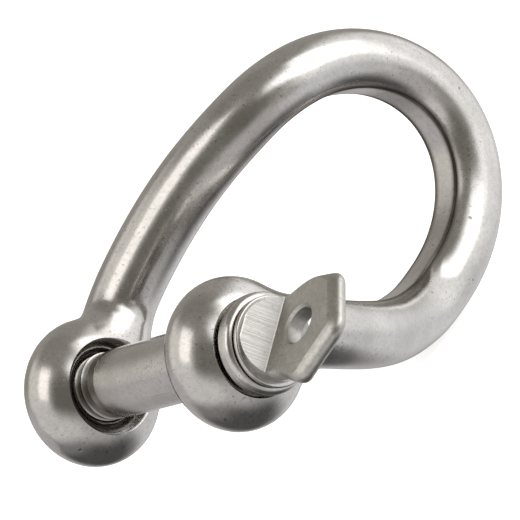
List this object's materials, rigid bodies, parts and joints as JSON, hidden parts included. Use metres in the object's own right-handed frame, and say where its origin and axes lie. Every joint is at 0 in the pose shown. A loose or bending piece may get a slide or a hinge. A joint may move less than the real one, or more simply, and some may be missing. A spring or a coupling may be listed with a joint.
{
  "type": "twisted bow shackle",
  "caption": "Twisted bow shackle with a screw pin: round bar bow, ball-shaped eyes, collar ring and a flat paddle head with a lanyard hole.",
  "frame": {"origin": "on the pin's axis, midway between the two eyes", "axes": "+X along the pin towards its head, +Y from the pin to the crown, +Z completes a right-handed frame; the crown lies within 3 degrees of the YZ plane"},
  "size_m": [0.0549, 0.0663, 0.0384],
  "materials": {
    "bow_steel": "satin polished, lightly scratched",
    "collar_steel": "satin polished",
    "pin_steel": "satin polished, milling lines on the ramps"
  },
  "bodies": {
    "bow": {"bow_body": "bow_steel"},
    "collar": {"pin_collar": "collar_steel"},
    "pin": {"screw_pin": "pin_steel"}
  },
  "joints": [
    {"name": "pin_travel", "type": "slide", "parent": "bow", "child": "collar", "axis": [1, 0, 0], "range_m": [-0.00063, 0.0289]},
    {"name": "pin_turn", "type": "hinge", "parent": "collar", "child": "pin", "pos_m": [0, 0, 0], "axis": [1, 0, 0], "range_deg": [-180, 8280]}
  ],
  "couplings": [
    {"joint": "pin_travel", "follows": "pin_turn", "m_per_rad": 0.00019894}
  ]
}
